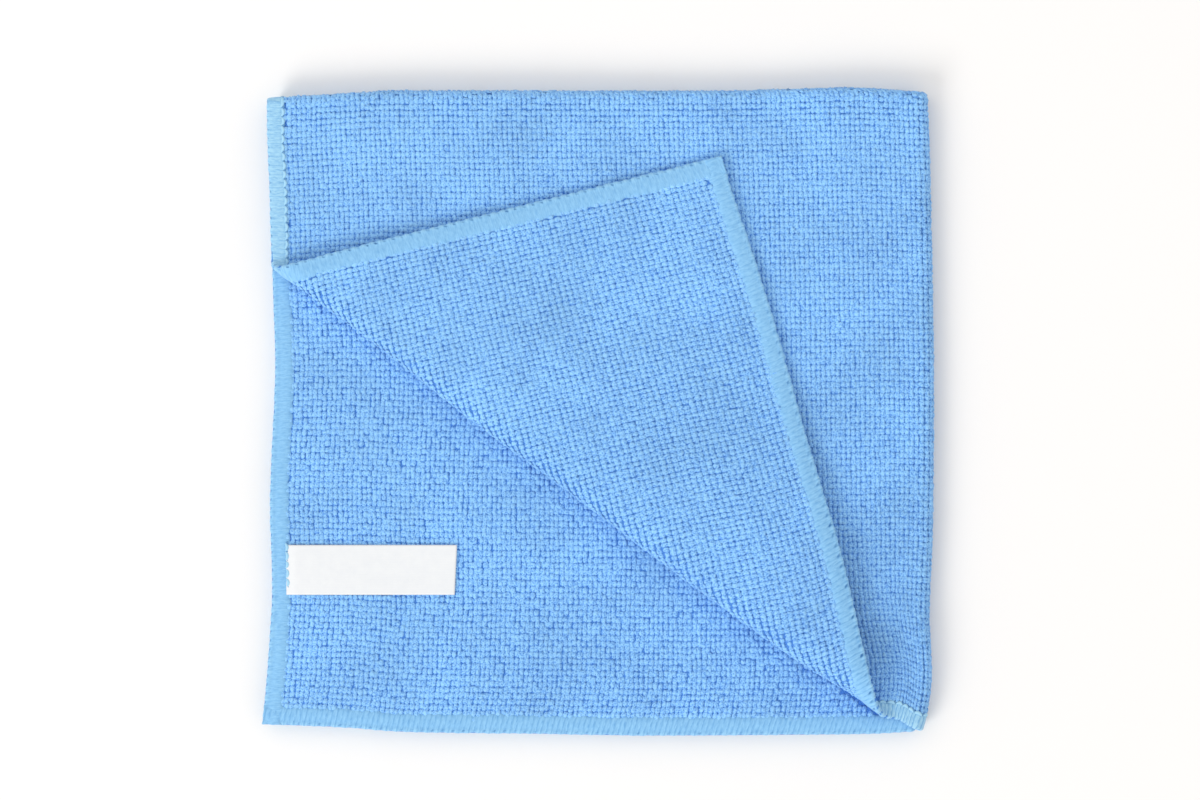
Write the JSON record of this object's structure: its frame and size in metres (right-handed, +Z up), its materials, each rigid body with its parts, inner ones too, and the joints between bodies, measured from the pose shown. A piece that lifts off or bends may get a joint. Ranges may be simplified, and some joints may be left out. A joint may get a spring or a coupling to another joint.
{
  "type": "folded microfibre cloth",
  "caption": "Square looped microfibre cleaning cloth with overlocked edges, folded into a flat bundle with its top corner turned back, and a blank sewn-in label.",
  "frame": {"origin": "middle of the bundle's bounding box in plan, on the plane that it rests on", "axes": "+Z up, away from the surface that it lies on; +Y towards the first fold, the closed top edge; +X towards the second fold, the closed right edge"},
  "size_m": [0.2023, 0.1952, 0.0175],
  "materials": {
    "microfibre": "soft looped terry pile in light blue, with a paler overlocked edge",
    "label_tape": "smooth white satin tape, blank"
  },
  "bodies": {
    "root": {"cloth": "microfibre", "label": "label_tape"}
  },
  "joints": []
}
